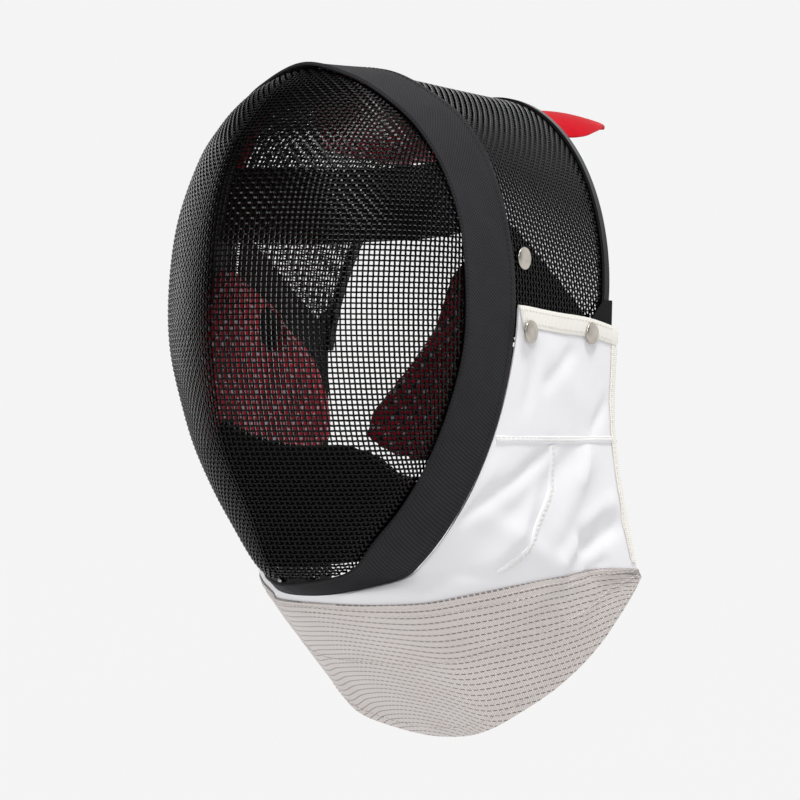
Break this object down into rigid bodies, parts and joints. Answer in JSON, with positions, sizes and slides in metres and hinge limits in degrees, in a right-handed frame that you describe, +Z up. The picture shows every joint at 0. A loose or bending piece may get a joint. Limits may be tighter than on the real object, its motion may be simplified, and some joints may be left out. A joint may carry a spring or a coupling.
{
  "type": "fencing mask",
  "caption": "Foil fencing mask: creased wire mesh face, mesh crown with a rear tongue, padded lining and a white bib with a conductive panel.",
  "frame": {"origin": "where the crown of the head meets the underside of the crown pad, on the middle plane", "axes": "the mask faces -Y, +Z is up, the wearer's left is +X"},
  "size_m": [0.2524, 0.4208, 0.4179],
  "materials": {
    "wire_mesh": "black painted woven steel wire",
    "rim": "black painted steel trim",
    "webbing": "black woven webbing",
    "tongue": "red gloss moulded over a spring leaf",
    "bib_cloth": "white polyester cloth",
    "conductive_knit": "warm grey metallised fine rib",
    "binding": "cream tape",
    "padding": "printed cloth over foam, red with a small pale pattern",
    "black_cloth": "matte black cloth",
    "nickel": "satin nickel plate"
  },
  "bodies": {
    "root": {"front_mesh": "wire_mesh", "crown_mesh": "wire_mesh", "rear_rim": "rim", "face_band": "webbing", "tongue": "tongue", "bib": "bib_cloth", "bib_panel": "conductive_knit", "binding_top_left": "binding", "binding_rear_left": "binding", "binding_top_right": "binding", "binding_rear_right": "binding", "cheek_pad_left": "padding", "cheek_pad_right": "padding", "chin_pad": "black_cloth", "brow_pad": "padding", "crown_pad": "padding", "forehead_strap": "black_cloth", "side_gusset_left": "black_cloth", "side_gusset_right": "black_cloth", "strap_tab_left": "black_cloth", "strap_tab_right": "black_cloth", "rivet_left": "nickel", "rivet_right": "nickel", "snap_front_left": "nickel", "snap_front_right": "nickel", "snap_rear_left": "nickel", "snap_rear_right": "nickel"}
  },
  "joints": []
}
